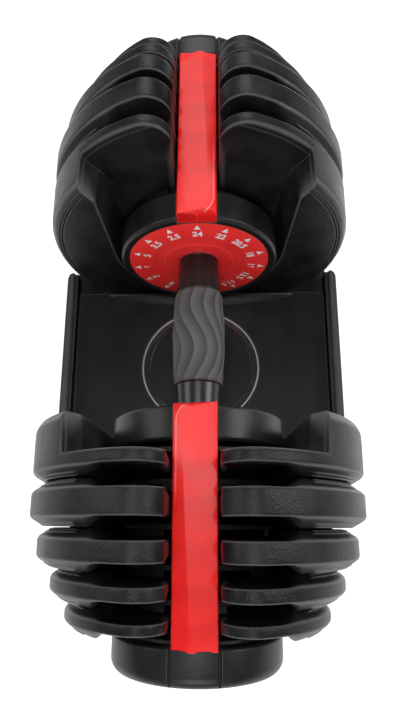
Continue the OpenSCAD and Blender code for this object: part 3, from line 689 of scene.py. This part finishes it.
# The drum is a profile carried round the axis, with four straight grooves cut along it, and a
# shallow dished end with a raised rim.
def makeKnob(which):
    low, high = boxOf("end_knob_far")
    r, end = high[0], high[1] + knob["longer"]
    hub = boxOf("knob_cap_far")[1][0] + knob["capGap"]
    neck = boxOf("plate_5_cover_far")[1][1] + 1.4
    drum = neck + 2.2
    profile = [(r - 6, neck), (r - 6, drum), (r - 1.2, drum), (r, drum + 1.2), (r, end - 6), (r - 0.5, end - 4),
               (r - 1.6, end - 2.1), (r - 3.2, end - 0.7), (r - 5.4, end), (r - 9, end), (r - 10.5, end - 1.6),
               (knob["seat"], end - 1.6), (knob["seat"] - 1.4, end - 0.4), (hub, end - 0.4), (hub, neck)]
    shape = rounded(profile, 0.7, 4)
    a = np.arange(knob["turns"])[:, None] * 2 * pi / knob["turns"]
    rr = shape[:, 0] + 0 * a
    x, z = rr * np.sin(a), rr * np.cos(a)
    groove = bump((np.abs(x) - knob["grooveAt"]) / knob["grooveWide"]) * smooth((rr - r + 4.5) / 2)
    z = z - np.sign(z) * knob["grooveDeep"] * groove * (np.abs(z) > r / 2)
    points = np.stack([x, shape[:, 1] + 0 * x, z], -1)
    faces = gridFaces(len(a), len(shape), True, True)
    addPiece(f"knobSkin_{which}", points, faces, f"dial_{which}", "knob_plastic",
             stands=(f"end_knob_{which}",), near=which == "near")
    cap = [(0, end - 4), (hub - 0.4, end - 4), (hub - 0.4, end - 1.2), (hub - 1.4, end - 0.5), (14, end - 0.5),
           (13.2, end - 1.1), (12, end - 1.1), (11.2, end - 0.6), (0, end - 0.3)]
    turnedPiece(f"knobCapSkin_{which}", cap, f"dial_{which}", "knob_plastic",
                stands=(f"knob_cap_{which}",), near=which == "near")


for which in ends:
    makeKnob(which)
print("knobs made")

grip = {"bands": 12, "relief": 1.0, "cliff": 0.08, "sway": 0.34, "swayFrom": 0.32, "swayLong": 0.98,
        "barrel": 1.75, "bore": 12.6, "rows": 280, "cols": 120}


# The grip is a barrel whose skin carries slanted bands, each swaying once from side to side along
# its length; a band rises slowly across its width and drops at its edge.
def makeGrip():
    high = boxOf("grip_sleeve")[1]
    half, belly = high[1], high[0]
    a = np.arange(grip["rows"]) * 2 * pi / grip["rows"]
    y, turn = np.meshgrid(np.linspace(-half, half, grip["cols"]), a)
    sway = -grip["sway"] * np.cos(2 * pi * (grip["swayFrom"] - y / (2 * half)) / grip["swayLong"])
    phase = ((turn - sway) * grip["bands"] / (2 * pi)) % 1
    cliff = grip["cliff"]
    tooth = np.where(phase > cliff, (1 - phase) / (1 - cliff), phase / cliff)
    relief = grip["relief"] * (1 - tooth ** 0.8) * smooth((half - np.abs(y)) / 5)
    r = belly - grip["barrel"] * (y / half) ** 2 - relief - 0.6 * smooth((np.abs(y) - half + 1.2) / 1.2)
    skin = np.stack([r * np.sin(turn), y, r * np.cos(turn)], -1)
    front = np.stack([grip["bore"] * np.sin(a), np.full_like(a, half), grip["bore"] * np.cos(a)], -1)[:, None]
    points = np.concatenate([skin, front, front * (1, -1, 1)], 1)
    # each band is painted paler on its raised side: painted shading of the relief
    rubAndSheen = np.concatenate([0.55 * tooth, np.zeros((grip["rows"], 2))], 1)
    addPiece("gripSkin", points, gridFaces(grip["rows"], grip["cols"] + 2, True, True), "handle", "grip_rubber",
             stands=("grip_sleeve",), crease=60, rubAndSheen=rubAndSheen)


makeGrip()
print("grip made")

tray = {
    "deckHigh": 58.0,                       # the deck over the feet's underside
    "ring": 46.4, "ringWide": 6.4, "padHalf": 76, "padDeep": 9, "padEnd": 61.5,
    "beadHalf": 79, "beadAt": 104.6, "beadWide": 4.0, "beadHigh": 1.2, "lipHigh": 9.0,
}


# a thin flat ring on the deck, with a painted highlight line round its outer edge
def makeDeckRing(deck):
    a = np.arange(160)[:, None] * 2 * pi / 160
    r, inside = tray["ring"], tray["ring"] - tray["ringWide"]
    profile = rounded([(r, deck - 0.9), (r, deck + 0.5), (r - 1.1, deck + 0.7), (r - 1.7, deck + 0.5),
                       (inside + 0.9, deck + 0.25), (inside, deck + 0.5), (inside - 0.5, deck + 0.1),
                       (inside - 0.5, deck - 0.9)], 0.4, 4)
    points = np.stack([np.sin(a) * profile[:, 0], np.cos(a) * profile[:, 0], profile[:, 1] + 0 * a], -1)
    rubAndSheen = smooth((profile[:, 1] - deck - 0.5) / 0.15) + 0 * a
    addPiece("deckRing", points, gridFaces(len(a), len(profile), True, True), "tray", "tray_plastic",
             look="gloss_black", rubAndSheen=rubAndSheen)


# a rounded bead along each side lip: a half-round profile carried straight along the tray
def makeLipBeads(deck):
    turn = np.linspace(0, pi, 17)
    along = np.array([-1, -0.975, -0.93, -0.5, 0, 0.5, 0.93, 0.975, 1])[:, None] * tray["beadHalf"]
    taper = np.array([0.3, 0.75, 1, 1, 1, 1, 1, 0.75, 0.3])[:, None]
    foot = deck + tray["lipHigh"] - 3
    for sign, label in ((-1, "left"), (1, "right")):
        x = sign * (tray["beadAt"] + tray["beadWide"] * taper * np.cos(turn))
        z = foot + (3 + tray["beadHigh"]) * taper * np.sin(turn) ** 0.7
        rows = np.stack([x, along + 0 * x, z], -1)
        n, m = x.shape
        faces = gridFaces(n, m, False, True) + [list(range(m)), list(range(n * m - 1, (n - 1) * m - 1, -1))]
        # the bead takes the paler plate plastic and a paler crest: a painted highlight along the lip
        addPiece(f"lipBead_{label}", rows, faces, "tray", "tray_plastic", look="plate_plastic",
                 rubAndSheen=0.5 * np.sin(turn) ** 4 + 0 * x)


# a lens-shaped pad at each end of the deck, flat against the plates and bulging towards the middle
def makeDeckPads(deck):
    u = np.linspace(-1, 1, 61)
    back = np.full_like(u, tray["padEnd"])
    front = back - tray["padDeep"] * np.clip(1 - u ** 2, 0, 1) - 0.4
    outline = ((back, -0.4), (back, 2.6), (front + 0.5, 0.5), (front, 0.3), (front, -0.4))
    rows = np.stack([np.stack([u * tray["padHalf"], y, 0 * u + deck + up], -1) for y, up in outline], 1)
    n, m = rows.shape[:2]
    faces = gridFaces(n, m, False, True) + [list(range(m)), list(range(n * m - 1, (n - 1) * m - 1, -1))]
    for which in ends:
        addPiece(f"deckPad_{which}", rows, faces, "tray", "tray_plastic", crease=25, near=which == "near")


deckTop = boxOf("rubber_feet")[0][2] + tray["deckHigh"]
makeDeckRing(deckTop)
makeLipBeads(deckTop)
makeDeckPads(deckTop)
print("tray details made")


# gives the CAD nodes that stay in view their materials
def paintNodes():
    slots = {part["node"]: part["material_slot"] for part in frame["record"]["subparts"]}
    for name, piece in frame["nodes"].items():
        piece.data.materials.clear()
        piece.data.materials.append(looks[slots[name]])


paintNodes()
makeCamera()
makeStudio()
